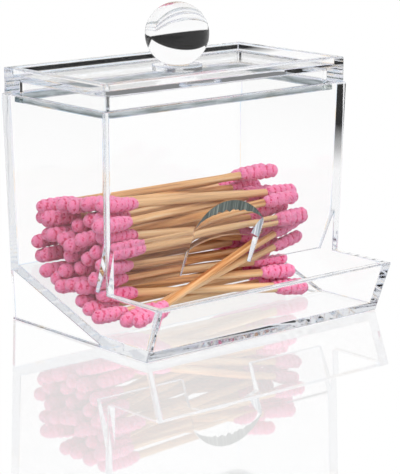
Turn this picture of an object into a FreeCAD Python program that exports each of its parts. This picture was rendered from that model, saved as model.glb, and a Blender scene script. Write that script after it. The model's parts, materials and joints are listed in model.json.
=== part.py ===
import FreeCAD, Part
import math
import os
import random
import re
import Sketcher

# Cotton swab holder: a clear box with a sloping floor and an open tray in front, a lift-off
# lid with a ball knob, and the cotton swabs that lie in it. Millimetres, +Z up. The origin is
# on the ground below the middle of the whole part, X runs along the width and the tray
# faces -Y.

SIZES = {
    # box
    "box_width": (95.0, "outer width at the top of the walls"),
    "box_depth": (49.6, "outer depth at the top of the walls, without the tray"),
    "wall_top": (69.2, "height of the walls above the ground"),
    "wall": (2.6, "thickness of the side, back and front walls"),
    "wall_draft": (0.023, "how far each wall leans outward, per mm of height"),
    # tray and floors
    "tray_reach": (22.1, "how far the tray's rim stands in front of the front panel"),
    "tray_foot": (16.1, "how far the tray's foot stands in front of the front panel"),
    "tray_rim": (16.1, "height of the tray's rim"),
    "tray_wall": (2.6, "thickness of the tray's front wall"),
    "tray_floor": (3.0, "thickness of the flat floor"),
    "ramp_start": (5.5, "how far behind the front panel the sloping floor leaves the ground"),
    "ramp_rise": (15.3, "height of the sloping floor's underside at the back"),
    "ramp_floor": (2.7, "thickness of the sloping floor, measured straight up"),
    # front panel
    "bend_height": (29.0, "height at which the front panel bends inward"),
    "lip_height": (16.0, "height of the lip's lower edge"),
    "lip_reach": (6.6, "how far the lip's lower edge lies behind the front panel"),
    "lip_edge": (1.4, "thickness of the lip at its lower edge"),
    "notch_half": (13.8, "half the width of the finger notch between its upright sides"),
    "notch_radius": (16.2, "radius of the notch's round top on the panel's face"),
    "notch_height": (21.8, "height of that round top's centre"),
    "notch_hood": (11.3, "how much lower the notch's roof lies at the panel's inner face"),
    "hood_radius": (40.0, "radius of the notch's roof at the panel's inner face"),
    "edge_round": (0.4, "rounding of the outer edges"),
    # lid
    "lid_height": (7.8, "height of the lid above the walls"),
    "lid_inset": (0.6, "how far the lid stands inside the walls' outer faces"),
    "lid_seat": (0.05, "gap between the lid and the walls it stands on"),
    "rim_width": (2.8, "width of the lid's raised rim"),
    "recess_depth": (2.3, "depth of the sunk top below the rim"),
    "plate": (1.5, "thickness of the lid's plate"),
    "lip_drop": (2.2, "how far the lid's inner lip drops inside the walls"),
    "lip_play": (0.3, "clearance between the lid's inner lip and the walls"),
    "lip_wall": (1.4, "thickness of the lid's inner lip"),
    "cavity_corner": (4.0, "corner radius of the lid's hollow"),
    # knob
    "foot_radius": (7.6, "radius of the knob's foot"),
    "foot_height": (1.5, "height of the knob's foot"),
    "ball_radius": (9.7, "radius of the knob's ball"),
    "ball_sink": (0.5, "how far the ball is sunk into its foot"),
    # swabs
    "swab_count": (40, "number of swabs"),
    "swab_length": (76.0, "length of a swab from tip to tip"),
    "stick_radius": (1.25, "radius of the wooden stick"),
    "bud_radius": (2.25, "radius of the cotton bud"),
    "bud_length": (12.5, "length of the cotton bud"),
    "bud_tip": (1.9, "length of the bud's rounded tip"),
    "bud_flat": (1.0, "radius of the flat end of the bud"),
    "bud_neck": (1.5, "length over which the bud runs down to the stick"),
    "bud_waist": (1.95, "radius of the bud where its neck starts"),
    "swab_play": (0.12, "clearance between swabs, and between swabs and walls"),
    "heap_front": (3.0, "how far the heap reaches in front of the floor's fold, at its right end"),
    "heap_turn": (4.0, "how much further back the heap's left end stands"),
    "heap_scatter": (5.0, "how unevenly the swabs' left ends stand off the side wall"),
    "heap_gap": (0.8, "distance between the swabs before they sink into the heap"),
    "loose_count": (2, "number of the swabs that lie slantwise in the tray"),
    "loose_side": (9.4, "distance of the slanting swabs' left ends from the side wall"),
    "loose_front": (1.5, "distance of the first one's left end in front of the floor's fold"),
    "loose_spread": (4.5, "distance between their left ends"),
    "loose_lean": (4.4, "how far behind the first one's left end their right ends lie"),
    "loose_rise": (18.5, "how far they rise to their right ends"),
}

# Places that follow from the sizes.
PLACES = {
    "back_y": "(box_depth + tray_reach) / 2",
    "panel_y": "back_y - box_depth",
    "box_mid_y": "back_y - box_depth / 2",
    "rim_y": "panel_y - tray_reach",
    "ramp_y": "panel_y + ramp_start",
    "ramp_back_y": "back_y - wall_draft * (wall_top - ramp_rise)",
    "ramp_slope": "ramp_rise / (ramp_back_y - ramp_y)",
    "fold_y": "ramp_y + (tray_floor - ramp_floor) / ramp_slope",
    "tray_lean": "(tray_reach - tray_foot) / tray_rim",
    "bend_y": "panel_y + wall_draft * (wall_top - bend_height)",
    "lip_y": "panel_y + lip_reach",
    "notch_face_y": "panel_y + wall_draft * (wall_top - notch_height - notch_radius)",
    "hood_height": "notch_height + notch_radius - notch_hood - hood_radius",
    "lid_top": "wall_top + lid_height",
    "lid_base": "wall_top + lid_seat",
    "plate_top": "lid_top - recess_depth",
    "lid_lip_low": "wall_top - lip_drop",
    "mouth_half_x": "box_width / 2 - wall - wall_draft * lip_drop - lip_play",
    "mouth_half_y": "box_depth / 2 - wall - wall_draft * lip_drop - lip_play",
    "low_half_x": "box_width / 2 - wall - wall_draft * wall_top",
    "ball_z": "plate_top + foot_height + ball_radius - ball_sink",
}
SPARE = 5.0  # how far a cutting shape runs past the face it opens
TINY = 1e-6
ON_FACE = 0.01  # mm within which an edge counts as lying on a face

doc = FreeCAD.newDocument("cotton_swab_holder")
sheet = doc.addObject("Spreadsheet::Sheet", "sizes")


def fill_sheet():
    for row, (name, (value, note)) in enumerate(SIZES.items(), start=1):
        sheet.set(f"A{row}", name)
        sheet.set(f"B{row}", str(value))
        sheet.set(f"C{row}", note)
        sheet.setAlias(f"B{row}", name)
    doc.recompute()


def formula(text):
    """Write out the places and sizes named in text as an expression on the sheet."""
    def expand(match):
        word = match.group()
        if word in PLACES:
            return "(" + formula(PLACES[word]) + ")"
        return "sizes." + word if word in SIZES else word
    return re.sub(r"[a-z_]+", expand, text)


def number(text):
    return float(sheet.evalExpression(formula(text)))


def bind(item, **properties):
    for name, text in properties.items():
        item.setExpression(name, formula(text))


# ---------------------------------------------------------------- sketches and solids

SIDE_VIEW = FreeCAD.Rotation(FreeCAD.Vector(1, 1, 1), 120)  # sketch x, y lie along Y, Z
FRONT_VIEW = FreeCAD.Rotation(FreeCAD.Vector(1, 0, 0), 90)  # sketch x, y lie along X, Z
ALONG_Y = FreeCAD.Rotation(FreeCAD.Vector(1, 0, 0), -90)


def pin_point(sketch, line, end, across, up):
    """Tie one end of a line to its place, measured from the sketch's origin."""
    for kind, text in (("DistanceX", across), ("DistanceY", up)):
        place = sketch.addConstraint(Sketcher.Constraint(kind, line, end, number(text)))
        sketch.setExpression(f"Constraints[{place}]", formula(text))


def draw_outline(sketch, corners):
    """Draw a closed outline of straight lines through corners given as formulas."""
    points = [FreeCAD.Vector(number(across), number(up), 0) for across, up in corners]
    last = len(points) - 1
    for index, point in enumerate(points):
        sketch.addGeometry(Part.LineSegment(point, points[0 if index == last else index + 1]))
    for index in range(len(points)):
        following = 0 if index == last else index + 1
        sketch.addConstraint(Sketcher.Constraint("Coincident", index, 2, following, 1))
    for index, (across, up) in enumerate(corners):
        pin_point(sketch, index, 1, across, up)


def slab(name, view, corners, length):
    """Extrude an outline to both sides of its plane."""
    sketch = doc.addObject("Sketcher::SketchObject", name + "_outline")
    sketch.Placement = FreeCAD.Placement(FreeCAD.Vector(), view)
    draw_outline(sketch, corners)
    solid = doc.addObject("Part::Extrusion", name)
    solid.Base = sketch
    solid.DirMode = "Normal"
    solid.Solid = True
    solid.Symmetric = True
    bind(solid, LengthFwd=length)
    return solid


def combine(kind, name, shapes):
    """Common or fuse several solids."""
    solid = doc.addObject(kind, name)
    solid.Shapes = shapes
    return solid


def between_sides(name, inset):
    """A drafted block between the side walls' faces, inset from the outer faces."""
    low, high = f"-{SPARE}", f"wall_top + {SPARE}"
    def half(height):
        return f"box_width / 2 - {inset} - wall_draft * (wall_top - ({height}))"
    corners = [
        (f"-({half(low)})", low),
        (half(low), low),
        (half(high), high),
        (f"-({half(high)})", high),
    ]
    return slab(name, FRONT_VIEW, corners, "2 * (box_depth + tray_reach)")


# ---------------------------------------------------------------- holder

def holder_body():
    corners = [
        ("back_y - wall_draft * wall_top", "0"),
        ("back_y", "wall_top"),
        ("panel_y", "wall_top"),
        ("panel_y + wall_draft * (wall_top - tray_rim)", "tray_rim"),
        ("rim_y", "tray_rim"),
        ("panel_y - tray_foot", "0"),
    ]
    profile = slab("side_profile", SIDE_VIEW, corners, "box_width")
    return combine("Part::MultiCommon", "holder_block", [profile, between_sides("outer_sides", "0")])


def holder_hollow():
    """The room for the swabs, the mouth below the lip and the inside of the tray."""
    high = f"wall_top + {SPARE}"
    over_rim = f"tray_rim + {SPARE}"
    corners = [
        (f"back_y - wall + wall_draft * {SPARE}", high),
        ("ramp_back_y - wall", "ramp_slope * (ramp_back_y - wall - ramp_y) + ramp_floor"),
        ("fold_y", "tray_floor"),
        ("panel_y - tray_foot - tray_lean * tray_floor + tray_wall", "tray_floor"),
        (f"rim_y - tray_lean * {SPARE} + tray_wall", over_rim),
        (f"panel_y - {SPARE}", over_rim),
        (f"panel_y - {SPARE}", "bend_height"),
        ("bend_y", "bend_height"),
        ("lip_y", "lip_height"),
        ("lip_y + lip_edge", "lip_height"),
        ("bend_y + wall", "bend_height + wall / 2"),
        (f"panel_y + wall - wall_draft * {SPARE}", high),
    ]
    profile = slab("room_profile", SIDE_VIEW, corners, "box_width")
    return combine("Part::MultiCommon", "room", [profile, between_sides("room_sides", "wall")])


def holder_underside():
    """The open wedge below the sloping floor."""
    past_back = f"back_y + {SPARE}"
    corners = [
        ("ramp_y", "0"),
        (past_back, f"ramp_slope * ({past_back} - ramp_y)"),
        (past_back, f"-{SPARE}"),
        ("ramp_y", f"-{SPARE}"),
    ]
    profile = slab("wedge_profile", SIDE_VIEW, corners, "box_width")
    return combine("Part::MultiCommon", "wedge", [profile, between_sides("wedge_sides", "wall")])


def round_cutter(name, radius, start, length, height):
    """A cylinder along Y."""
    cutter = doc.addObject("Part::Cylinder", name)
    cutter.Placement = FreeCAD.Placement(FreeCAD.Vector(), ALONG_Y)
    bind(cutter, **{
        "Radius": radius,
        "Height": length,
        "Placement.Base.y": start,
        "Placement.Base.z": height,
    })
    return cutter


def notch_ring(name, radius, start, height):
    """A circle around Y."""
    ring = doc.addObject("Part::Circle", name)
    ring.Placement = FreeCAD.Placement(FreeCAD.Vector(), ALONG_Y)
    bind(ring, **{"Radius": radius, "Placement.Base.y": start, "Placement.Base.z": height})
    return ring


def finger_notch():
    """An arched hole through the panel and the lip, whose roof slopes down through the panel."""
    outer_end = ("notch_radius", "notch_face_y", "notch_height")
    inner_end = ("hood_radius", "notch_face_y + wall", "hood_height")
    roof = doc.addObject("Part::Loft", "notch_roof")
    roof.Sections = [notch_ring("outer_ring", *outer_end), notch_ring("inner_ring", *inner_end)]
    roof.Solid = True
    roof.Ruled = True
    radius, face, height = outer_end
    before = round_cutter("notch_outside", radius, f"{face} - wall", "wall", height)
    radius, face, height = inner_end
    behind = round_cutter("notch_inside", radius, face, "lip_reach + wall", height)
    hole = combine("Part::MultiFuse", "notch_hole", [roof, before, behind])
    sides = doc.addObject("Part::Box", "notch_sides")
    bind(sides, **{
        "Length": "2 * notch_half",
        "Width": "lip_reach + 3 * wall",
        "Height": "2 * notch_radius",
        "Placement.Base.x": "-notch_half",
        "Placement.Base.y": "panel_y - wall",
        "Placement.Base.z": "lip_height - wall",
    })
    return combine("Part::MultiCommon", "notch", [hole, sides])


def straight_edges(shape, wanted):
    """Numbers of the shape's straight edges that wanted(start, end) accepts."""
    chosen = []
    for index, edge in enumerate(shape.Edges, start=1):
        if isinstance(edge.Curve, Part.Line):
            ends = [vertex.Point for vertex in edge.Vertexes]
            if wanted(*ends):
                chosen.append(index)
    return chosen


def make_holder():
    cutters = combine("Part::MultiFuse", "holder_cuts", [holder_hollow(), holder_underside(), finger_notch()])
    cut = doc.addObject("Part::Cut", "holder_cut")
    cut.Base = holder_body()
    cut.Tool = cutters
    doc.recompute()
    side = number("box_width / 2")
    lean = number("wall_draft")
    top = number("wall_top")

    def on_side(point):
        return abs(abs(point.x) - (side - lean * (top - point.z))) < ON_FACE

    holder = doc.addObject("Part::Fillet", "holder")
    holder.Base = cut
    radius = number("edge_round")
    holder.Edges = [(index, radius, radius) for index in straight_edges(
        cut.Shape, lambda start, end: on_side(start) and on_side(end) and max(start.z, end.z) > ON_FACE)]
    holder.Label = "holder"
    return holder


# ---------------------------------------------------------------- lid and knob

def new_body(name):
    body = doc.addObject("PartDesign::Body", name)
    body.Label = name
    return body


def sketch_on(body, role, name, height="0"):
    sketch = body.newObject("Sketcher::SketchObject", name)
    plane = next(item for item in body.Origin.OriginFeatures if item.Role == role)
    sketch.AttachmentSupport = [(plane, "")]
    sketch.MapMode = "FlatFace"
    if height != "0":
        bind(sketch, **{"AttachmentOffset.Base.z": height})
    return sketch


def rectangle(body, name, half_x, half_y, height):
    """A level rectangle over the middle of the box."""
    sketch = sketch_on(body, "XY_Plane", name, height)
    corners = [(f"{side_x}({half_x})", f"box_mid_y {side_y} ({half_y})")
               for side_x, side_y in (("-", "-"), ("", "-"), ("", "+"), ("-", "+"))]
    draw_outline(sketch, corners)
    return sketch


def level_feature(body, kind, name, sketch, length, reverse=False):
    """Pad or pocket a level sketch, and say how much its volume changed."""
    before = body.Shape.Volume if body.Tip else 0.0
    feature = body.newObject(kind, name)
    feature.Profile = sketch
    feature.Reversed = reverse
    bind(feature, Length=length)
    doc.recompute()
    gained = body.Shape.Volume - before
    if (gained > 0) != (kind == "PartDesign::Pad"):
        raise ValueError(f"{name} points away from the solid")
    return feature


def round_edges(body, name, base, radius, wanted):
    fillet = body.newObject("PartDesign::Fillet", name)
    names = [f"Edge{index}" for index in straight_edges(base.Shape, wanted)]
    fillet.Base = (base, names)
    bind(fillet, Radius=radius)
    doc.recompute()
    return fillet


def upright(start, end):
    return abs(start.x - end.x) < TINY and abs(start.y - end.y) < TINY


def make_lid():
    body = new_body("lid")
    outer = rectangle(body, "lid_outline", "box_width / 2 - lid_inset",
                      "box_depth / 2 - lid_inset", "lid_base")
    level_feature(body, "PartDesign::Pad", "lid_block", outer, "lid_top - lid_base")
    sunk = rectangle(body, "recess_outline", "box_width / 2 - lid_inset - rim_width",
                     "box_depth / 2 - lid_inset - rim_width", "lid_top")
    level_feature(body, "PartDesign::Pocket", "recess", sunk, "recess_depth")
    lip = rectangle(body, "lip_outline", "mouth_half_x", "mouth_half_y", "lid_base")
    level_feature(body, "PartDesign::Pad", "lip", lip, "lid_base - lid_lip_low", reverse=True)
    hollow = rectangle(body, "hollow_outline", "mouth_half_x - lip_wall",
                       "mouth_half_y - lip_wall", "lid_lip_low")
    pocket = level_feature(body, "PartDesign::Pocket", "hollow", hollow,
                           "plate_top - plate - lid_lip_low", reverse=True)

    ceiling = number("plate_top - plate")
    hollow_x = number("mouth_half_x - lip_wall")
    rounded = round_edges(
        body, "hollow_corners", pocket, "cavity_corner",
        lambda start, end: upright(start, end) and abs(abs(start.x) - hollow_x) < ON_FACE)
    lip_x = number("mouth_half_x")
    rounded = round_edges(
        body, "lip_corners", rounded, "cavity_corner - lip_wall",
        lambda start, end: upright(start, end) and abs(abs(start.x) - lip_x) < ON_FACE)
    outer_x = number("box_width / 2 - lid_inset")
    round_edges(
        body, "lid_edges", rounded, "edge_round",
        lambda start, end: abs(abs(start.x) - outer_x) < ON_FACE and abs(abs(end.x) - outer_x) < ON_FACE
        and (upright(start, end) or start.z > ceiling))
    return body


def make_knob():
    """A ball on a round foot, in one piece, turned about the middle of the lid."""
    body = new_body("knob")
    sketch = sketch_on(body, "XZ_Plane", "knob_outline")
    base, top = "plate_top", "plate_top + foot_height"
    radius = number("ball_radius")
    centre = FreeCAD.Vector(0, number("ball_z"), 0)
    start_angle = math.asin((number(top) - centre.y) / radius)
    points = [FreeCAD.Vector(0, number(base), 0), FreeCAD.Vector(number("foot_radius"), number(base), 0),
              FreeCAD.Vector(number("foot_radius"), number(top), 0),
              FreeCAD.Vector(radius * math.cos(start_angle), number(top), 0)]
    for first, second in zip(points, points[1:]):
        sketch.addGeometry(Part.LineSegment(first, second))
    circle = Part.Circle(centre, FreeCAD.Vector(0, 0, 1), radius)
    sketch.addGeometry(Part.ArcOfCircle(circle, start_angle, math.pi / 2))
    sketch.addGeometry(Part.LineSegment(centre + FreeCAD.Vector(0, radius, 0), points[0]))
    arc, axis = 3, 4
    for line in range(len(points)):
        sketch.addConstraint(Sketcher.Constraint("Coincident", line, 2, line + 1, 1))
    sketch.addConstraint(Sketcher.Constraint("Coincident", axis, 2, 0, 1))
    pin_point(sketch, 0, 1, "0", base)
    pin_point(sketch, 1, 1, "foot_radius", base)
    pin_point(sketch, 2, 1, "foot_radius", top)
    pin_point(sketch, arc, 3, "0", "ball_z")
    height = sketch.addConstraint(Sketcher.Constraint("DistanceY", arc, 1, number(top)))
    sketch.setExpression(f"Constraints[{height}]", formula(top))
    sketch.addConstraint(Sketcher.Constraint("DistanceX", axis, 1, 0.0))
    size = sketch.addConstraint(Sketcher.Constraint("Radius", arc, radius))
    sketch.setExpression(f"Constraints[{size}]", formula("ball_radius"))
    turned = body.newObject("PartDesign::Revolution", "ball_and_foot")
    turned.Profile = sketch
    turned.ReferenceAxis = (sketch, ["V_Axis"])
    turned.Angle = 360
    bind(body, **{"Placement.Base.y": "box_mid_y"})
    return body


# ---------------------------------------------------------------- swabs

class Pile:
    """Straight swabs dropped into the holder, pushed apart until none overlaps.

    Each swab is held by its two tips, at left and right. Every round lets the swabs sink a
    little, then moves apart those that are too close and lifts them off the walls. Nothing
    moves them lengthwise, so each keeps its own distance from the side wall.
    """

    ROUNDS = 900
    CALM_FROM = 0.75  # share of the rounds after which nothing sinks any more
    SINK = 0.1  # mm each round
    CLOSE = 8.0  # mm between the axes of swabs that may touch
    RENEW = 8  # rounds between searches for close swabs
    QUARTERS = (0.0, 0.25, 0.5, 0.75, 1.0)  # where swabs are compared in that search
    STATIONS = (0.0, 0.12, 0.22, 0.3, 0.5, 0.6, 0.7, 0.74, 0.78, 0.88, 1.0)  # where walls push
    SHUFFLE = 2.4  # mm of disorder between the left and the right ends
    SETTLED = 0.02  # mm of overlap, out of the swabs' own clearance, that may stay
    SEED = 23  # start of the chance numbers, so that every build gives the same heap

    def __init__(self):
        self.length = number("swab_length")
        self.stick = number("stick_radius")
        self.bud = number("bud_radius")
        self.bud_share = number("bud_length / swab_length")
        self.play = number("swab_play")
        self.loose = int(number("loose_count"))
        self.left, self.right, self.front = [], [], []
        self.measure_holder()
        self.lay_loose_swabs()
        self.stack_swabs(int(number("swab_count")) - self.loose)
        near, far = number("bud_tip"), number("bud_length - bud_neck")
        self.whole = (0.0, self.length)
        self.far_enough = 2 * self.bud + self.play
        left_bud, right_bud = (near, far), (self.length - far, self.length - near)
        shaft = (far, self.length - far)
        self.meetings = [
            (2 * self.stick, self.whole, self.whole),
            (2 * self.bud, left_bud, left_bud),
            (2 * self.bud, right_bud, right_bud),
            (self.bud + self.stick, left_bud, shaft),
            (self.bud + self.stick, right_bud, shaft),
            (self.bud + self.stick, shaft, left_bud),
            (self.bud + self.stick, shaft, right_bud),
        ]

    def measure_holder(self):
        slope = number("ramp_slope")
        self.rise = slope / math.hypot(1.0, slope)
        self.run = 1.0 / math.hypot(1.0, slope)
        self.ramp_y, self.ramp_floor = number("ramp_y"), number("ramp_floor")
        self.floor = number("tray_floor")
        self.draft, self.top = number("wall_draft"), number("wall_top")
        self.back = number("back_y - wall")
        self.panel = number("panel_y + wall")
        self.side = number("box_width / 2 - wall")
        self.low_side = number("low_half_x")
        self.bend = (number("bend_y + wall / 2"), number("bend_height"))
        self.lip = (number("lip_y + lip_edge / 2"), number("lip_height + lip_edge / 2"))
        self.half_lip = number("lip_edge") * math.sqrt(0.5)  # out to the corners of its edge
        self.half_wall = number("wall") * math.sqrt(0.5)  # out to the corner of the bend
        self.notch_half = number("notch_half")
        self.hood = number("hood_radius")
        self.hood_z = number("hood_height")
        self.tray_front = number("panel_y - tray_foot + tray_wall")
        self.right_front = number("fold_y - heap_front")
        self.left_front = self.right_front + number("heap_turn")

    def reach(self, rise, sideways):
        return math.sqrt(self.length ** 2 - rise ** 2 - sideways ** 2)

    def lay_loose_swabs(self):
        """Swabs with one end in the tray and the other leaning on the slanting panel."""
        level = self.floor + self.bud + self.play
        back = number("fold_y - loose_front + loose_lean")
        side, rise = number("loose_side") - self.side, number("loose_rise")
        for index in range(self.loose):
            front = number("fold_y - loose_front") - index * number("loose_spread")
            self.left.append([side, front, level])
            self.right.append([side + self.reach(rise, back - front), back, level + rise])
            self.front.append((self.tray_front, self.tray_front))

    def slots(self, count, front):
        """Places for swab ends in staggered rows above the floor, behind the heap's front."""
        gap = number("heap_gap")
        pitch = 2 * self.bud + gap
        row_rise = pitch * math.sqrt(0.75)
        places, row = [], 0
        while len(places) < count:
            height = self.floor + self.bud + gap + row * row_rise
            y = front + self.bud + (row % 2) * pitch / 2
            while y < self.back - self.bud - gap:
                floor = max(self.floor, self.ramp_floor + (y - self.ramp_y) * self.rise / self.run)
                if height > floor + self.bud / self.run:
                    places.append((y, height))
                y += pitch
            row += 1
        return places[:count]

    def stack_swabs(self, count):
        chance = random.Random(self.SEED)
        lefts = sorted(self.slots(count, self.left_front), key=lambda place: place[1])
        rights = sorted(self.slots(count, self.right_front),
                        key=lambda place: place[1] + chance.gauss(0, self.SHUFFLE))
        for (left_y, left_z), (right_y, right_z) in zip(lefts, rights):
            span = self.reach(left_y - right_y, left_z - right_z)
            side = chance.uniform(0, number("heap_scatter")) - self.low_side
            self.left.append([side, left_y, left_z])
            self.right.append([side + span, right_y, right_z])
            self.front.append((self.left_front, self.right_front))

    def close_pairs(self):
        pairs = []
        for first in range(len(self.left)):
            for second in range(first):
                if any(self.gap_at(first, second, share) < self.CLOSE for share in self.QUARTERS):
                    pairs.append((first, second))
        return pairs

    def gap_at(self, first, second, share):
        y, z = (
            (self.left[first][axis] - self.left[second][axis]) * (1 - share)
            + (self.right[first][axis] - self.right[second][axis]) * share
            for axis in (1, 2)
        )
        return math.hypot(y, z)

    def shift(self, swab, share, y, z):
        """Move the point at this share of the swab's length by sharing it between the ends."""
        low, high = self.left[swab], self.right[swab]
        other = 1 - share
        weight = 1 / (share * share + other * other)
        for axis, step in ((1, y), (2, z)):
            low[axis] += step * other * weight
            high[axis] += step * share * weight

    def direction(self, swab):
        low, high = self.left[swab], self.right[swab]
        return [(high[axis] - low[axis]) / self.length for axis in (0, 1, 2)]

    def part_pair(self, first, second):
        """Push two swabs apart wherever they are too close; return the worst overlap."""
        worst = 0.0
        for reach, first_span, second_span in self.meetings:
            along, across, apart = closest(
                self.left[first], self.direction(first), first_span,
                self.left[second], self.direction(second), second_span)
            distance = math.hypot(*apart) or TINY
            if first_span == second_span == self.whole and distance > self.far_enough:
                break
            overlap = reach + self.play - distance
            if overlap <= 0:
                continue
            worst = max(worst, overlap)
            fixed = second < self.loose <= first
            share = overlap / distance * (1.0 if fixed else 0.5)
            _, push_y, push_z = (share * step for step in apart)
            self.shift(first, along / self.length, push_y, push_z)
            if not fixed:
                self.shift(second, across / self.length, -push_y, -push_z)
        return worst

    def push_from_holder(self, swab, share, point, radius):
        """How far a point of the swab has to move in y and z to clear the holder."""
        x, y, z = point
        move_y = move_z = 0.0
        sunk = radius - ((z - self.ramp_floor) * self.run - (y - self.ramp_y) * self.rise)
        if sunk > 0:
            move_y -= sunk * self.rise
            move_z += sunk * self.run
        move_z += max(0.0, self.floor + radius - z - move_z)
        lean = self.draft * (self.top - z)
        move_y -= max(0.0, y + move_y - (self.back - lean - radius))
        front = self.front[swab][0] * (1 - share) + self.front[swab][1] * share
        move_y += max(0.0, front + radius - y - move_y)
        in_notch = abs(x) < self.notch_half - radius and math.hypot(x, z - self.hood_z) < self.hood - radius
        if in_notch or z < self.lip[1] - radius - self.half_lip:
            return move_y, move_z
        if z >= self.bend[1]:
            return move_y + max(0.0, self.panel + lean + radius - y - move_y), move_z
        lip_y, lip_z = self.bend[0] - self.lip[0], self.bend[1] - self.lip[1]
        along = ((y - self.lip[0]) * lip_y + (z - self.lip[1]) * lip_z) / (lip_y ** 2 + lip_z ** 2)
        along = max(0.0, along)
        off_y, off_z = y - self.lip[0] - along * lip_y, z - self.lip[1] - along * lip_z
        distance = math.hypot(off_y, off_z) or TINY
        half = self.half_lip + (self.half_wall - self.half_lip) * along
        share_out = max(0.0, radius + half - distance) / distance
        return move_y + off_y * share_out, move_z + off_z * share_out

    def hold_in_holder(self, swab):
        worst = 0.0
        low, high = self.left[swab], self.right[swab]
        for share in self.STATIONS:
            radius = (self.bud if min(share, 1 - share) < self.bud_share else self.stick) + self.play
            point = [low[axis] * (1 - share) + high[axis] * share for axis in (0, 1, 2)]
            move_y, move_z = self.push_from_holder(swab, share, point, radius)
            worst = max(worst, math.hypot(move_y, move_z))
            self.shift(swab, share, move_y, move_z)
        slant = math.hypot(high[1] - low[1], high[2] - low[2]) / self.length
        side = self.side - self.play - self.bud * slant
        left_limit = side - self.draft * (self.top - low[2])
        right_limit = side - self.draft * (self.top - high[2])
        slide = max(0.0, -left_limit - low[0]) - max(0.0, high[0] - right_limit)
        low[0] += slide
        high[0] += slide
        self.keep_length(low, high)
        return worst

    def keep_length(self, low, high):
        stretch = (1 - self.length / math.dist(low, high)) / 2
        for axis in (0, 1, 2):
            step = (high[axis] - low[axis]) * stretch
            low[axis] += step
            high[axis] -= step

    def settle(self):
        for round_number in range(self.ROUNDS):
            sinking = round_number < self.CALM_FROM * self.ROUNDS
            if sinking:
                for tip in self.left[self.loose:] + self.right[self.loose:]:
                    tip[2] -= self.SINK
            if round_number % self.RENEW == 0:
                pairs = self.close_pairs()
            overlaps = [self.part_pair(*pair) for pair in pairs]
            overlaps += [self.hold_in_holder(swab) for swab in range(len(self.left))]
            worst = max(overlaps)
            if not sinking and worst < self.SETTLED:
                break
        return list(zip(self.left, self.right))


def closest(start_a, way_a, span_a, start_b, way_b, span_b):
    """Where two straight stretches come closest: the distances along them and the gap's vector."""
    off = [start_a[axis] - start_b[axis] for axis in (0, 1, 2)]
    slant = sum(one * two for one, two in zip(way_a, way_b))
    along_a = sum(one * two for one, two in zip(way_a, off))
    along_b = sum(one * two for one, two in zip(way_b, off))
    spread = 1 - slant * slant
    a = (slant * along_b - along_a) / spread if spread > TINY else sum(span_a) / 2
    a = min(max(a, span_a[0]), span_a[1])
    b = min(max(slant * a + along_b, span_b[0]), span_b[1])
    a = min(max(slant * b - along_a, span_a[0]), span_a[1])
    return a, b, [off[axis] + a * way_a[axis] - b * way_b[axis] for axis in (0, 1, 2)]


def swab_outline():
    """Half of a swab's section, along X from tip to tip, its axis on X."""
    sketch = doc.addObject("Sketcher::SketchObject", "swab_outline")
    half = "swab_length / 2"
    left = [
        (f"-{half}", "bud_flat"),
        (f"bud_tip - {half}", "bud_radius"),
        (f"bud_length - bud_neck - {half}", "bud_waist"),
        (f"bud_length - {half}", "stick_radius"),
    ]
    right = [(f"-({across})", up) for across, up in reversed(left)]
    draw_outline(sketch, [(f"-{half}", "0")] + left + right + [(half, "0")])
    return sketch


def make_swabs():
    outline = swab_outline()
    swabs = []
    for index, (low, high) in enumerate(Pile().settle(), start=1):
        start, end = FreeCAD.Vector(*low), FreeCAD.Vector(*high)
        swab = doc.addObject("Part::Revolution", f"swab_{index:02d}")
        swab.Source = outline
        swab.Axis = (1, 0, 0)
        swab.Base = (0, 0, 0)
        swab.Angle = 360
        swab.Solid = True
        swab.Placement = FreeCAD.Placement(
            (start + end) / 2, FreeCAD.Rotation(FreeCAD.Vector(1, 0, 0), end - start))
        swab.Label = f"swab_{index:02d}"
        swabs.append(swab)
    return swabs


# ---------------------------------------------------------------- build and export

def check_document():
    for item in doc.Objects:
        if {"Invalid", "Error"} & set(item.State):
            raise RuntimeError(f"{item.Label} failed: {item.State}")


def export(nodes):
    os.makedirs("parts", exist_ok=True)
    for node in nodes:
        if node.Shape.isNull() or not node.Shape.isValid():
            raise RuntimeError(f"{node.Label} has no valid shape")
    for node in nodes:
        node.Shape.exportStep(f"parts/{node.Label}.step")


fill_sheet()
nodes = [make_holder(), make_lid(), make_knob()] + make_swabs()
doc.recompute()
check_document()
export(nodes)
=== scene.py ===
import json
import math

import bpy
import numpy as np
from mathutils import Matrix, Vector, noise

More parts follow.
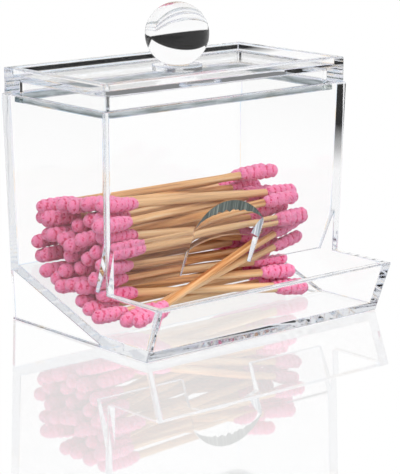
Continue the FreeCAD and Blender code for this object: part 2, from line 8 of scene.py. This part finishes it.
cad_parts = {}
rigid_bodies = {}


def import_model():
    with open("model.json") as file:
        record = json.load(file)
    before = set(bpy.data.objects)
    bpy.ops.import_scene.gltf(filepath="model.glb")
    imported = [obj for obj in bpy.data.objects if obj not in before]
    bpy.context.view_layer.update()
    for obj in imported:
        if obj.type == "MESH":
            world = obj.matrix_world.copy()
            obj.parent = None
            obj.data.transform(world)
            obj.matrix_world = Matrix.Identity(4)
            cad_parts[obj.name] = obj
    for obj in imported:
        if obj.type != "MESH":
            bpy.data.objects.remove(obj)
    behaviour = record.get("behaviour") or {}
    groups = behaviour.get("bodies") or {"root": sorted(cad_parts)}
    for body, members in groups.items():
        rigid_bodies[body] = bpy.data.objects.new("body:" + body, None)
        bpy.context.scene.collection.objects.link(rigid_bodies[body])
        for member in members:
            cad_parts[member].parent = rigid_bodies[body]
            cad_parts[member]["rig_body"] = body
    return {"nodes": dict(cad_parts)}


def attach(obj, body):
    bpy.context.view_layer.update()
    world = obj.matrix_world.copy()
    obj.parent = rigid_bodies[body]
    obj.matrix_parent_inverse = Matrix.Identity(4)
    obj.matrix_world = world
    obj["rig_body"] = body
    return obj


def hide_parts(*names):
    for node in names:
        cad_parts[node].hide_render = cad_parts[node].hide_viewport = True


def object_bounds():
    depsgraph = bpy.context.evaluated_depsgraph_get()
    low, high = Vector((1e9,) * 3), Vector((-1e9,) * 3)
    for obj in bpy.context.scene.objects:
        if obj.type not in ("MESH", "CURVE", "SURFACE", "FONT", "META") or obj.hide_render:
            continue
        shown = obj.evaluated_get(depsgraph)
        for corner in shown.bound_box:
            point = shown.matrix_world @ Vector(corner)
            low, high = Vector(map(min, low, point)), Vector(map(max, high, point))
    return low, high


MM = 0.001
WHITE = (1.0, 1.0, 1.0, 1.0)

# Clear plastic.
IOR = 1.5
EDGE_ROUND = 0.7 * MM
FLAT_FACING, EDGE_FACING = 0.995, 0.90  # the painted rainbow fringes show up at the rounded edges between these turns
CLEARED = 0.65  # share of the mirrored light that plain walls leave out
MIRRORED_WHOLLY = 0.95  # from this Fresnel value on, light stays inside the plastic
FLOOR_TOP = 20 * MM  # the holder's level floors lie below this height
LIP_DROP = 2.35 * MM  # the lid's lip lies within this height above the lid's lowest point
BOND_DEPTH = 0.4 * MM  # how far the bonded knob's foot runs into the plate

# The finger notch.
NOTCH_REACH = 14.5 * MM  # the notch lies nearer to the middle than this
NOTCH_LOW = 21 * MM  # and the tops of its two arcs lie above this height
OUTER_FACE = 0.5 * MM  # depth within which its points lie on the panel's outer face
INNER_FACE = 2.0 * MM  # depth from which they lie on the inner face
HOOD_DROP = 8 * MM  # the inner arc lies at least this far below the outer one
SKIN_AHEAD, SKIN_BELOW = 0.08 * MM, 0.05 * MM  # how far the skins stand off the roof
GREY_WIDTH = 0.985  # width of the grey skin of painted shade, as a share of the notch
GREY_REACH = 0.34  # how far in it runs at its middle, as a share of the roof's depth
GREY_TAPER = 0.6  # how bluntly it narrows to its ends
RAGGED, RAGS = 0.25, 700  # how uneven its inner edge is, and how finely
SIDE_WIDTH = 0.24  # width of the pale skin of painted glint at its inner end, as a share of half the notch
SIDE_REACH = 0.98  # how far in the pale skin runs, as a share of the roof's depth
GREY_STEPS, GREY_ROWS = 60, 8
SIDE_STEPS, SIDE_ROWS = 20, 4

# Swabs. Lengths are shares of the bud's length, and heights of its radius.
STICK_STEPS, STICK_AROUND = 28, 14
STICK_START = 0.35  # the stick starts this far inside its bud
STICK_SIZE, STICK_WOBBLE = 0.96, 0.05
TONE_MIDDLE, TONE_SPREAD = 0.30, 0.54  # how far plain wood covers a stick's streaks
BUD_STEPS, BUD_AROUND = 64, 32
BUD_TURNS, TURNS_SPREAD = 5.6, 1.2
TIP_LENGTH = 0.2
NECK_LENGTH = 0.30
NECK_SIZE = 0.55  # radius of the bud where it meets the stick
FURROW_DEPTH, FURROW_SPREAD = 0.10, 0.10
LUMP_HEIGHT, FUZZ_HEIGHT = 0.09, 0.06
TURN_DRIFT = 0.10
WOBBLES, LUMPS, FUZZ, DRIFTS = 60, 330, 1700, 200  # how often each comes, per metre
CREST_SHADE_LOW, CREST_SHADE_ROLL, CREST_SHADE_FUZZ = 0.25, 0.6, 0.8  # what the cotton's painted shade follows: its furrows, crests and fuzz
BUD_LEAST = 0.2 * MM  # radius of the bud's very tip

# Floor, room and camera.
DARK = (0.020, 0.020, 0.020, 1.0)
FLOOR_HALF = 4.0  # half the floor's side
FLOOR_GAP = 0.2 * MM  # how far the floor lies under the part
GLOSS_NEAR, GLOSS_FAR = 0.15, 0.35  # between these distances the floor's mirror fades away
GLOSS_SHARE = 0.32  # strength of the floor's mirror close to the part
TABLE_REACH = 0.44  # how far back the white table goes on, as glass sees it
TABLE_FADE = 1.06 * TABLE_REACH  # and where its end has turned wholly dark
TABLE_LEFT, LEFT_FADE = -0.16, -0.30  # the same two places at its left end
ROOM_RISE = 0.29  # height of the dark room beyond the table, per metre of distance
ROOM_EDGE = 20.0  # how sharply the room ends at that height
ACROSS_VIEW = (0.756, -0.654, 0.0)  # level directions across the main view and along it
ALONG_VIEW = (0.654, 0.756, 0.0)
CARD_START, CARD_END, CARD_HEIGHT = 0.55, 0.95, 0.40  # the dark cards at both sides
DEEP_START, DEEP_END = 5.0, 9.0  # bounces over which light from the room turns pale
DEEP_LIGHT = (0.85, 0.86, 0.88, 1.0)
ROOM_LIGHT = (0.82, 0.82, 0.82, 1.0)  # what the room casts on wood and cotton
LAMP_AIM = (0, 0, 0.03)
SENSOR, LENS = 36.0, 156.52
YAW, PITCH, ROLL = math.radians(40.871), math.radians(12.591), math.radians(0.086)
EYE = Vector((-399.71, -461.56, 160.97)) * MM
BOUNCES = 64  # light crosses many clear walls

for old in list(bpy.data.objects):
    bpy.data.objects.remove(old)

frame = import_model()
cad_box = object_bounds()
nodes = frame["nodes"]


# ---------------------------------------------------------------- node helpers

class Shader:
    """Short ways to add and join the nodes of one material or world."""

    def __init__(self, owner):
        owner.use_nodes = True
        self.tree = owner.node_tree
        self.tree.nodes.clear()

    def add(self, kind, inputs=None, **settings):
        node = self.tree.nodes.new(kind)
        for name, value in settings.items():
            setattr(node, name, value)
        for name, value in (inputs or {}).items():
            self.feed(node.inputs[name], value)
        return node

    def feed(self, socket, value):
        """Join an output to a socket, or set the socket's own value."""
        if isinstance(value, bpy.types.NodeSocket):
            self.tree.links.new(value, socket)
        else:
            socket.default_value = value

    def dot(self, first, second):
        node = self.add("ShaderNodeVectorMath", {0: first, 1: second}, operation="DOT_PRODUCT")
        return node.outputs["Value"]

    def map_range(self, value, start, end, low=0.0, high=1.0, kind="LINEAR"):
        node = self.add("ShaderNodeMapRange", {
            "Value": value, "From Min": start, "From Max": end, "To Min": low, "To Max": high},
            interpolation_type=kind)
        return node.outputs["Result"]

    def math(self, operation, *values, clamp=False):
        node = self.add("ShaderNodeMath", operation=operation, use_clamp=clamp)
        for socket, value in zip(node.inputs, values):
            self.feed(socket, value)
        return node.outputs[0]

    def mix_shader(self, factor, first, second):
        node = self.add("ShaderNodeMixShader")
        self.feed(node.inputs[0], factor)
        self.feed(node.inputs[1], first)
        self.feed(node.inputs[2], second)
        return node.outputs[0]

    def mix_color(self, factor, first, second):
        node = self.add("ShaderNodeMix", data_type="RGBA")
        for socket, value in zip((node.inputs[0], node.inputs[6], node.inputs[7]), (factor, first, second)):
            self.feed(socket, value)
        return node.outputs[2]

    def ramp(self, value, stops):
        """A colour ramp with stops that are pairs of a place and a colour."""
        node = self.add("ShaderNodeValToRGB", {"Fac": value})
        elements = node.color_ramp.elements
        while len(elements) < len(stops):
            elements.new(0.5)
        for element, (place, color) in zip(elements, stops):
            element.position = place
            element.color = color if len(color) == 4 else (*color, 1.0)
        return node.outputs["Color"]


def new_material(name):
    material = bpy.data.materials.new(name)
    return material, Shader(material)


# ---------------------------------------------------------------- clear plastic

def clear_plastic(name, cleared, painted_streaks=None):
    """Clear polished plastic, with the faint waves of a moulded surface and rainbow fringes painted at its
    rounded edges, standing in for light split there.

    Its mirrored light is thinned out by the share cleared. Painted streaks are two tones of painted shade
    along it."""
    material, build = new_material(name)
    place = build.add("ShaderNodeTexCoord").outputs["Object"]
    waves = build.add("ShaderNodeTexNoise", {"Vector": place, "Scale": 60.0, "Detail": 2.0})
    edges = build.add("ShaderNodeBevel", {"Radius": EDGE_ROUND}, samples=6)
    bump = build.add("ShaderNodeBump", {
        "Height": waves.outputs["Fac"], "Strength": 0.05, "Distance": 0.0004, "Normal": edges.outputs[0]})
    # painted light: a rainbow tint laid into the glass colour at the rounded edges, standing in for the
    # colour fringes of light split there
    fringe_noise = build.add("ShaderNodeTexNoise", {"Vector": place, "Scale": 110.0, "Detail": 1.0})
    painted_edge_fringe = build.ramp(fringe_noise.outputs["Fac"], [
        (0.34, (1.0, 0.84, 0.66)), (0.43, WHITE), (0.52, (0.93, 0.90, 1.0)),
        (0.62, (0.78, 0.89, 1.0))])
    flat = build.add("ShaderNodeNewGeometry").outputs["Normal"]
    at_edge = build.map_range(build.dot(edges.outputs[0], flat), FLAT_FACING, EDGE_FACING)
    body_color = WHITE
    # painted shade: streaks of two grey tones laid into the glass colour
    if painted_streaks:
        grain = build.add("ShaderNodeMapping", {"Vector": place, "Scale": (90.0, 90.0, 900.0)})
        painted_streak = build.add("ShaderNodeTexNoise", {"Vector": grain.outputs[0], "Scale": 1.0, "Detail": 2.0})
        body_color = build.ramp(painted_streak.outputs["Fac"], [(0.40, painted_streaks[0]), (0.60, painted_streaks[1])])
    color = build.mix_color(at_edge, body_color, painted_edge_fringe)
    look = {"Color": color, "Roughness": 0.0, "IOR": IOR, "Normal": bump.outputs[0]}
    glass = build.add("ShaderNodeBsdfGlass", look)
    clear = build.add("ShaderNodeBsdfRefraction", look)
    mirror = build.add("ShaderNodeFresnel", {"IOR": IOR, "Normal": bump.outputs[0]}).outputs[0]
    partly = build.math("MULTIPLY", build.math("LESS_THAN", mirror, MIRRORED_WHOLLY), cleared)
    body = build.mix_shader(partly, glass.outputs[0], clear.outputs[0])
    see_through = build.add("ShaderNodeBsdfTransparent", {"Color": (0.93, 0.94, 0.94, 1.0)})
    shadow = build.add("ShaderNodeLightPath").outputs["Is Shadow Ray"]
    surface = build.mix_shader(shadow, body, see_through.outputs[0])
    tint = build.add("ShaderNodeVolumeAbsorption", {"Color": (0.74, 0.76, 0.79, 1.0), "Density": 6.0})
    build.add("ShaderNodeOutputMaterial", {"Surface": surface, "Volume": tint.outputs[0]})
    return material


# ---------------------------------------------------------------- swabs

def wood():
    """Pale wood with redder streaks along the stick."""
    material, build = new_material("wood")
    place = build.add("ShaderNodeAttribute", attribute_name="stick_place").outputs["Vector"]
    stretch = build.add("ShaderNodeMapping", {"Vector": place, "Scale": (30.0, 800.0, 800.0)})
    grain = build.add("ShaderNodeTexNoise", {"Vector": stretch.outputs[0], "Scale": 1.0, "Detail": 4.0})
    tone = build.add("ShaderNodeAttribute", attribute_name="tone").outputs["Fac"]
    warm = build.ramp(grain.outputs["Fac"], [
        (0.36, (0.34, 0.095, 0.022)), (0.45, (0.62, 0.27, 0.09)), (0.56, (0.78, 0.44, 0.21)),
        (0.68, (0.90, 0.66, 0.42))])
    color = build.mix_color(tone, warm, (0.82, 0.58, 0.34, 1.0))
    bump = build.add("ShaderNodeBump", {"Height": grain.outputs["Fac"], "Strength": 0.6, "Distance": 0.0003})
    surface = build.add("ShaderNodeBsdfPrincipled", {
        "Base Color": color, "Roughness": 0.6, "Subsurface Weight": 0.1,
        "Subsurface Radius": (1.0, 0.5, 0.25), "Subsurface Scale": 0.001, "Normal": bump.outputs[0]})
    build.add("ShaderNodeOutputMaterial", {"Surface": surface.outputs[0]})
    return material


def cotton():
    """Dyed cotton: soft, matt and fuzzy, with shade painted deeper in the furrows between its turns and
    lighter on its crests.
    """
    material, build = new_material("cotton")
    place = build.add("ShaderNodeTexCoord").outputs["Object"]
    fibres = build.add("ShaderNodeTexNoise", {"Vector": place, "Scale": 1900.0, "Detail": 4.0})
    clumps = build.add("ShaderNodeTexNoise", {"Vector": place, "Scale": 420.0, "Detail": 3.0})
    # painted shade: the colour follows the bud's relief, darker in its furrows and lighter on its crests and
    # fuzz, over random clumps
    crest_shade = build.add("ShaderNodeAttribute", attribute_name="crest_shade").outputs["Fac"]
    height = build.math("MULTIPLY_ADD", clumps.outputs["Fac"], 1.3, crest_shade)
    color = build.ramp(height, [
        (0.20, (0.66, 0.030, 0.110)), (0.85, (0.79, 0.080, 0.225)), (1.0, (0.92, 0.26, 0.46))])
    bump = build.add("ShaderNodeBump", {"Height": fibres.outputs["Fac"], "Strength": 0.9, "Distance": 0.0007})
    surface = build.add("ShaderNodeBsdfPrincipled", {
        "Base Color": color, "Roughness": 0.9, "Specular IOR Level": 0.1,
        "Subsurface Weight": 0.6, "Subsurface Radius": (1.0, 0.35, 0.45), "Subsurface Scale": 0.0015,
        "Sheen Weight": 0.3, "Sheen Roughness": 0.7, "Sheen Tint": (1.0, 0.72, 0.82, 1.0),
        "Normal": bump.outputs[0]})
    build.add("ShaderNodeOutputMaterial", {"Surface": surface.outputs[0]})
    return material


class Swab:
    """The axis and the sizes of one CAD swab, read from its node."""

    def __init__(self, node):
        points = np.array([v.co for v in node.data.vertices], float)
        low, high = self.tips(points)
        axis = high - low
        self.length = float(np.linalg.norm(axis))
        axis /= self.length
        off = points - low
        along = off @ axis
        apart = np.linalg.norm(off - np.outer(along, axis), axis=1)
        self.bud = float(apart.max())
        widest = along[apart > 0.99 * self.bud].min()
        ring = (along > widest) & (along < self.length / 2)
        neck_end = along[ring].max()
        self.stick = float(apart[ring & (along > neck_end - 0.1 * MM)].max())
        self.bud_length = float(neck_end)
        turn = Vector((1, 0, 0)).rotation_difference(Vector(axis))
        self.place = Matrix.Translation(Vector(low)) @ turn.to_matrix().to_4x4()

    @staticmethod
    def tips(points):
        """The middles of the swab's two end rings, the left one first."""
        middle = points.mean(axis=0)
        axis = np.linalg.svd(points - middle, full_matrices=False)[2][0]
        axis = axis if axis[0] > 0 else -axis
        along = (points - middle) @ axis
        ends = []
        for level in (along.min(), along.max()):
            ring = points[abs(along - level) < 0.2 * MM]
            ends.append((ring.min(axis=0) + ring.max(axis=0)) / 2)
        return ends


def tube_mesh(name, rings, attributes):
    """A closed tube through rings of points, with a value per vertex for each attribute."""
    around = len(rings[0])
    vertices = [tuple(point) for ring in rings for point in ring]
    faces = []
    for row in range(len(rings) - 1):
        for column in range(around):
            following = (column + 1) % around
            faces.append((row * around + column, row * around + following,
                          (row + 1) * around + following, (row + 1) * around + column))
    faces.append(tuple(reversed(range(around))))
    faces.append(tuple((len(rings) - 1) * around + column for column in range(around)))
    mesh = bpy.data.meshes.new(name)
    mesh.from_pydata(vertices, [], faces)
    mesh.polygons.foreach_set("use_smooth", [True] * len(faces))
    for title, (kind, values) in attributes.items():
        layer = mesh.attributes.new(title, kind, "POINT")
        layer.data.foreach_set("vector" if kind == "FLOAT_VECTOR" else "value", values)
    mesh.update()
    return mesh


def stick_rings(swab, seed):
    """Rings of a slightly uneven wooden stick, inside its buds at both ends."""
    rings, places = [], []
    start = STICK_START * swab.bud_length
    end = swab.length - start
    for row in range(STICK_STEPS + 1):
        x = start + (end - start) * row / STICK_STEPS
        ring = []
        for column in range(STICK_AROUND):
            angle = 2 * math.pi * column / STICK_AROUND
            around_x, around_y = math.cos(angle), math.sin(angle)
            wobble = noise.noise(Vector((x * WOBBLES + seed * 7.3, around_x * 0.8, around_y * 0.8)))
            radius = swab.stick * (STICK_SIZE + STICK_WOBBLE * wobble)
            ring.append(Vector((x, radius * around_x, radius * around_y)))
            places += [x + seed * 0.21, ring[-1].y + seed * 0.013, ring[-1].z]
        rings.append(ring)
    return rings, places


def bud_rings(swab, seed, mirrored):
    """Rings of a cotton bud wound in a few uneven slanting turns, from its tip to its neck."""
    rings, crest_shades = [], []
    turns = BUD_TURNS + TURNS_SPREAD * noise.noise(Vector((seed * 3.1, 0.5, 0.5)))
    for row in range(BUD_STEPS + 1):
        share = row / BUD_STEPS
        x = swab.bud_length * share
        tip = math.sqrt(max(0.0, 1 - (1 - min(1.0, share / TIP_LENGTH)) ** 2))
        neck = min(1.0, (1 - share) / NECK_LENGTH)
        envelope = min(tip, NECK_SIZE + (1 - NECK_SIZE) * math.sqrt(neck))
        ring = []
        for column in range(BUD_AROUND):
            angle = 2 * math.pi * column / BUD_AROUND
            around_x, around_y = math.cos(angle), math.sin(angle)
            lumps = noise.noise(Vector((x * LUMPS + seed, around_x * 1.2 + seed * 1.7, around_y * 1.2)))
            fuzz = noise.noise(Vector((x * FUZZ + seed * 5.3, around_x * 4.0, around_y * 4.0)))
            drift = TURN_DRIFT * noise.noise(Vector((x * DRIFTS, around_x + seed * 2.3, around_y)))
            phase = (share * turns + angle / (2 * math.pi) + seed * 0.37 + drift) % 1.0
            roll = 0.5 - 0.5 * math.cos(2 * math.pi * phase)
            depth = (FURROW_DEPTH + FURROW_SPREAD * lumps) * tip
            relief = 1 - depth * (1 - roll) + LUMP_HEIGHT * lumps + FUZZ_HEIGHT * fuzz
            radius = max(swab.bud * envelope * relief, BUD_LEAST)
            ring.append(Vector((x, radius * around_x, radius * around_y)))
            # painted shade per point: darker in the furrows, lighter on the crests and fuzz
            crest_shades.append(CREST_SHADE_LOW + CREST_SHADE_ROLL * roll + CREST_SHADE_FUZZ * fuzz)
        rings.append(ring)
    if mirrored:
        rings = [[Vector((swab.length - point.x, point.y, -point.z)) for point in ring] for ring in rings]
    return rings, crest_shades


def place_piece(name, mesh, matrix, material, body):
    """Add a visual piece that rides on a body."""
    mesh.transform(matrix)
    mesh.materials.append(material)
    piece = bpy.data.objects.new(name, mesh)
    bpy.context.scene.collection.objects.link(piece)
    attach(piece, body)
    return piece


def dress_swab(node, seed, wood_material, cotton_material):
    """Show a CAD swab as a wooden stick with a cotton bud on both ends."""
    swab = Swab(node)
    body = node["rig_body"]
    rings, places = stick_rings(swab, seed)
    tone = TONE_MIDDLE + TONE_SPREAD * noise.noise(Vector((seed * 1.37, 2.1, 0.3)))
    stick = tube_mesh(node.name + "_stick", rings, {
        "stick_place": ("FLOAT_VECTOR", places), "tone": ("FLOAT", [tone] * (len(places) // 3))})
    piece = place_piece(node.name + "_stick", stick, swab.place, wood_material, body)
    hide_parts(node.name)
    for end, mirrored in (("left", False), ("right", True)):
        rings, crest_shades = bud_rings(swab, seed * 2 + mirrored, mirrored)
        name = f"{node.name}_bud_{end}"
        bud = tube_mesh(name, rings, {"crest_shade": ("FLOAT", crest_shades)})
        place_piece(name, bud, swab.place, cotton_material, body)


# ---------------------------------------------------------------- holder, lid and knob

def mark_faces(node, material, chosen):
    """Give the faces of a node that chosen picks a second material."""
    node.data.materials.append(material)
    for face in node.data.polygons:
        if chosen(face):
            face.material_index = 1


def bond_knob(material):
    """The knob bonded to the lid: its foot runs on into the plate, so no air shows between them."""
    knob = nodes["knob"]
    mesh = knob.data.copy()
    mesh.transform(knob.matrix_world)
    foot = min(vertex.co.z for vertex in mesh.vertices)
    for vertex in mesh.vertices:
        if vertex.co.z < foot + 0.01 * MM:
            vertex.co.z -= BOND_DEPTH
    mesh.materials.clear()
    piece = place_piece("knob_bonded", mesh, Matrix(), material, knob["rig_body"])
    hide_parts("knob")


def painted_roof_light(name, dark, middle, light):
    """A ribbed sheet of painted light on the notch's roof: tones from dark to light, standing in for its
    shade and glints.
    """
    material, build = new_material(name)
    place = build.add("ShaderNodeTexCoord").outputs["Object"]
    painted_ribs = build.add("ShaderNodeMapping", {"Vector": place, "Scale": (2400.0, 60.0, 60.0)})
    painted_streak = build.add("ShaderNodeTexNoise", {"Vector": painted_ribs.outputs[0], "Scale": 1.0, "Detail": 2.0})
    color = build.ramp(painted_streak.outputs["Fac"], [(0.35, dark), (0.55, middle), (0.72, light)])
    surface = build.add("ShaderNodeBsdfPrincipled", {"Base Color": color, "Roughness": 0.35})
    build.add("ShaderNodeOutputMaterial", {"Surface": surface.outputs[0]})
    return material


class Arc:
    """The round top of the notch on one face of the panel, read from the holder's mesh."""

    def __init__(self, points):
        top = max(points, key=lambda point: point.z)
        side = max(points, key=lambda point: abs(point.x))
        drop = top.z - side.z
        self.top = top.z
        self.depth = top.y
        self.radius = (side.x ** 2 + drop ** 2) / (2 * drop)
        self.half = abs(side.x)


class Roof:
    """The notch's sloping roof, between the round tops on the panel's two faces."""

    def __init__(self, holder):
        near = [v.co for v in holder.data.vertices if abs(v.co.x) < NOTCH_REACH and v.co.z > NOTCH_LOW]
        front = min(point.y for point in near)
        self.outer = Arc([point for point in near if point.y < front + OUTER_FACE])
        lower = [point for point in near if point.z < self.outer.top - HOOD_DROP]
        self.inner = Arc([point for point in lower if point.y > front + INNER_FACE])
        self.body = holder["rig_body"]

    def point(self, x, share):
        """The point at x, this share of the way in through the panel, a hair off the roof."""
        outer, inner = self.outer, self.inner
        radius = outer.radius + share * (inner.radius - outer.radius)
        top = outer.top + share * (inner.top - outer.top)
        depth = outer.depth + share * (inner.depth - outer.depth)
        height = top - radius + math.sqrt(radius ** 2 - x ** 2)
        return x, depth - SKIN_AHEAD, height - SKIN_BELOW

    def skin(self, name, lines, material):
        """A thin skin on the roof, across lines that are lists of (x, share)."""
        count = len(lines[0])
        vertices = [self.point(x, share) for line in lines for x, share in line]
        faces = []
        for step in range(len(lines) - 1):
            for row in range(count - 1):
                first = step * count + row
                faces.append((first, first + 1, first + count + 1, first + count))
        mesh = bpy.data.meshes.new(name)
        mesh.from_pydata(vertices, [], faces)
        place_piece(name, mesh, Matrix(), material, self.body)


def notch_roof(holder):
    """The roof gets painted shade, grey just below its round top, and a painted glint, pale where it meets
    the notch's right side.
    """
    roof = Roof(holder)
    half = roof.outer.half
    lines = []
    for step in range(GREY_STEPS + 1):
        x = half * GREY_WIDTH * (2 * step / GREY_STEPS - 1)
        ragged = 1 + RAGGED * noise.noise(Vector((x * RAGS, 0, 0)))
        reach = GREY_REACH * (1 - (x / half) ** 2) ** GREY_TAPER * ragged
        lines.append([(x, reach * row / GREY_ROWS) for row in range(GREY_ROWS + 1)])
    # painted shade: a dark ribbed skin on the roof where it shows dark
    roof_shade = painted_roof_light("painted_roof_shade", (0.035, 0.050, 0.045), (0.085, 0.105, 0.095), (0.26, 0.29, 0.26))
    roof.skin("notch_roof", lines, roof_shade)
    lines = []
    for step in range(SIDE_STEPS + 1):
        share = SIDE_REACH * step / SIDE_STEPS
        width = half * SIDE_WIDTH * share
        lines.append([(half - width * row / SIDE_ROWS, share) for row in range(SIDE_ROWS + 1)])
    # painted glint: a pale skin on the roof beside the notch's right side, where it shows bright
    roof_glint = painted_roof_light("painted_roof_glint", (0.20, 0.23, 0.28), (0.50, 0.54, 0.60), (0.90, 0.91, 0.92))
    roof.skin("notch_side", lines, roof_glint)


# ---------------------------------------------------------------- floor, light and camera

def far_in(build, path):
    """1 for a ray turned many times inside the plastic, which sees only pale light in the room."""
    return build.map_range(path.outputs["Ray Depth"], DEEP_START, DEEP_END)


def unturned(build, path):
    """1 for a ray that went straight through two walls or more, which sees only white behind."""
    walls = build.math("GREATER_THAN", path.outputs["Transmission Depth"], 2.5)
    turns = build.math("SUBTRACT", path.outputs["Ray Depth"], path.outputs["Transmission Depth"])
    return build.math("MULTIPLY", walls, build.math("LESS_THAN", turns, 0.5))


def white_floor():
    """A glossy white floor. Glass sees it end, darker, at arm's length, as on a studio table."""
    material, build = new_material("floor")
    material.cycles.emission_sampling = "NONE"
    place = build.add("ShaderNodeTexCoord").outputs["Object"]
    away = build.add("ShaderNodeVectorMath", {0: place}, operation="LENGTH").outputs["Value"]
    path = build.add("ShaderNodeLightPath")
    parts = build.add("ShaderNodeSeparateXYZ", {"Vector": place}).outputs
    far_end = build.map_range(parts["Y"], TABLE_REACH, TABLE_FADE)
    left_end = build.map_range(parts["X"], TABLE_LEFT, LEFT_FADE)
    off_table = build.math("MAXIMUM", far_end, left_end)
    beyond = build.math("SUBTRACT", off_table, unturned(build, path), clamp=True)
    table = build.mix_color(beyond, WHITE, DARK)
    glow = build.mix_color(path.outputs["Is Camera Ray"], table, WHITE)
    white = build.add("ShaderNodeEmission", {"Color": glow, "Strength": 1.0})
    speckle = build.add("ShaderNodeTexNoise", {"Vector": place, "Scale": 40.0})
    tone = build.ramp(speckle.outputs["Fac"], [(0.0, (0.80, 0.80, 0.80)), (1.0, (0.84, 0.84, 0.84))])
    matt = build.add("ShaderNodeBsdfDiffuse", {"Color": tone})
    seen = build.math("MAXIMUM", path.outputs["Is Transmission Ray"], path.outputs["Is Glossy Ray"])
    seen = build.math("MAXIMUM", seen, path.outputs["Is Camera Ray"])
    base = build.mix_shader(seen, matt.outputs[0], white.outputs[0])
    gloss = build.add("ShaderNodeBsdfGlossy", {"Color": WHITE, "Roughness": 0.02})
    near = build.map_range(away, GLOSS_FAR, GLOSS_NEAR, 0.0, GLOSS_SHARE, "SMOOTHSTEP")
    amount = build.math("MULTIPLY", near, path.outputs["Is Camera Ray"])
    surface = build.mix_shader(amount, base, gloss.outputs[0])
    build.add("ShaderNodeOutputMaterial", {"Surface": surface})
    mesh = bpy.data.meshes.new("floor")
    half = FLOOR_HALF
    corners = [(-half, -half, 0), (half, -half, 0), (half, half, 0), (-half, half, 0)]
    mesh.from_pydata(corners, [], [(0, 1, 2, 3)])
    mesh.materials.append(material)
    floor = bpy.data.objects.new("floor", mesh)
    bpy.context.scene.collection.objects.link(floor)
    floor.location.z = cad_box[0].z - FLOOR_GAP


def studio():
    """Plain white for the camera. Glass sees a dark room at a low height, and white above it."""
    world = bpy.data.worlds.new("studio")
    bpy.context.scene.world = world
    world.cycles.sampling_method = "NONE"
    build = Shader(world)
    way = build.add("ShaderNodeTexCoord").outputs["Generated"]
    parts = build.add("ShaderNodeSeparateXYZ", {"Vector": way}).outputs
    up = parts["Z"]
    over_room = build.math("SUBTRACT", up, build.math("MULTIPLY", parts["Y"], ROOM_RISE))
    edge = build.math("MULTIPLY_ADD", over_room, ROOM_EDGE, 0.5)
    room = build.ramp(edge, [(0.45, DARK), (0.65, WHITE)])
    sideways = build.math("ABSOLUTE", build.dot(way, ACROSS_VIEW))
    card = build.map_range(sideways, CARD_START, CARD_END, 0.0, CARD_HEIGHT, "SMOOTHSTEP")
    onward = build.math("GREATER_THAN", build.dot(way, ALONG_VIEW), 0.0)
    low = build.math("MULTIPLY", build.math("LESS_THAN", up, card), onward)
    room = build.mix_color(low, room, DARK)
    path = build.add("ShaderNodeLightPath")
    room = build.mix_color(far_in(build, path), room, DEEP_LIGHT)
    room = build.mix_color(unturned(build, path), room, WHITE)
    outside = build.math("LESS_THAN", path.outputs["Transmission Depth"], 0.5)
    mirrored = build.math("MULTIPLY", path.outputs["Is Glossy Ray"], outside)
    room = build.mix_color(mirrored, room, WHITE)
    color = build.mix_color(path.outputs["Is Camera Ray"], room, WHITE)
    color = build.mix_color(path.outputs["Is Diffuse Ray"], color, ROOM_LIGHT)
    background = build.add("ShaderNodeBackground", {"Color": color, "Strength": 1.0})
    build.add("ShaderNodeOutputWorld", {"Surface": background.outputs[0]})


def soft_lamp(name, place, size, power):
    """A square lamp that lights the part without being seen or mirrored."""
    data = bpy.data.lights.new(name, "AREA")
    data.size = size
    data.energy = power
    lamp = bpy.data.objects.new(name, data)
    bpy.context.scene.collection.objects.link(lamp)
    lamp.location = place
    lamp.rotation_euler = (Vector(LAMP_AIM) - Vector(place)).to_track_quat("-Z", "Y").to_euler()
    lamp.visible_camera = False
    lamp.visible_glossy = False
    lamp.visible_transmission = False


def camera():
    """The photograph's viewing angle: from the front left and a little above."""
    data = bpy.data.cameras.new("camera")
    data.sensor_width = SENSOR
    data.lens = LENS
    data.clip_start = 0.05
    data.clip_end = 50.0
    eye = bpy.data.objects.new("camera", data)
    bpy.context.scene.collection.objects.link(eye)
    turn = Matrix.Rotation(-YAW, 4, "Z") @ Matrix.Rotation(math.pi / 2 - PITCH, 4, "X")
    eye.matrix_world = Matrix.Translation(EYE) @ turn @ Matrix.Rotation(ROLL, 4, "Z")
    bpy.context.scene.camera = eye


# ---------------------------------------------------------------- the scene

plastic = clear_plastic("clear_plastic", CLEARED)
for name in ("holder", "lid", "knob"):
    nodes[name].data.materials.clear()
    nodes[name].data.materials.append(plastic)
holder, lid = nodes["holder"], nodes["lid"]
mark_faces(holder, clear_plastic("clear_floor", 0.0),
           lambda face: face.normal.z > 0.8 and face.center.z < FLOOR_TOP)
heights = [corner.co.z for corner in lid.data.vertices]
lip_top = min(heights) + LIP_DROP
# the sides of the lid's lip get the two-tone streaks of painted shade, standing in for the dark lines the lip
# shows
mark_faces(lid, clear_plastic("clear_lip_painted_shade", CLEARED, ((0.50, 0.54, 0.51), (0.90, 0.93, 0.91))),
           lambda face: max(heights[index] for index in face.vertices) < lip_top
           and abs(face.normal.z) < 0.9)

bond_knob(plastic)
notch_roof(holder)

wood_material, cotton_material = wood(), cotton()
for name in sorted(nodes):
    if name.startswith("swab_"):
        dress_swab(nodes[name], int(name[-2:]), wood_material, cotton_material)

white_floor()
studio()
soft_lamp("key", place=(-0.5, -0.4, 0.9), size=0.7, power=7.5)
soft_lamp("fill", place=(0.6, -0.5, 0.5), size=0.8, power=2.6)
camera()
bpy.context.scene.view_settings.view_transform = "Standard"
for limit in ("max_bounces", "transmission_bounces", "glossy_bounces"):
    setattr(bpy.context.scene.cycles, limit, BOUNCES)
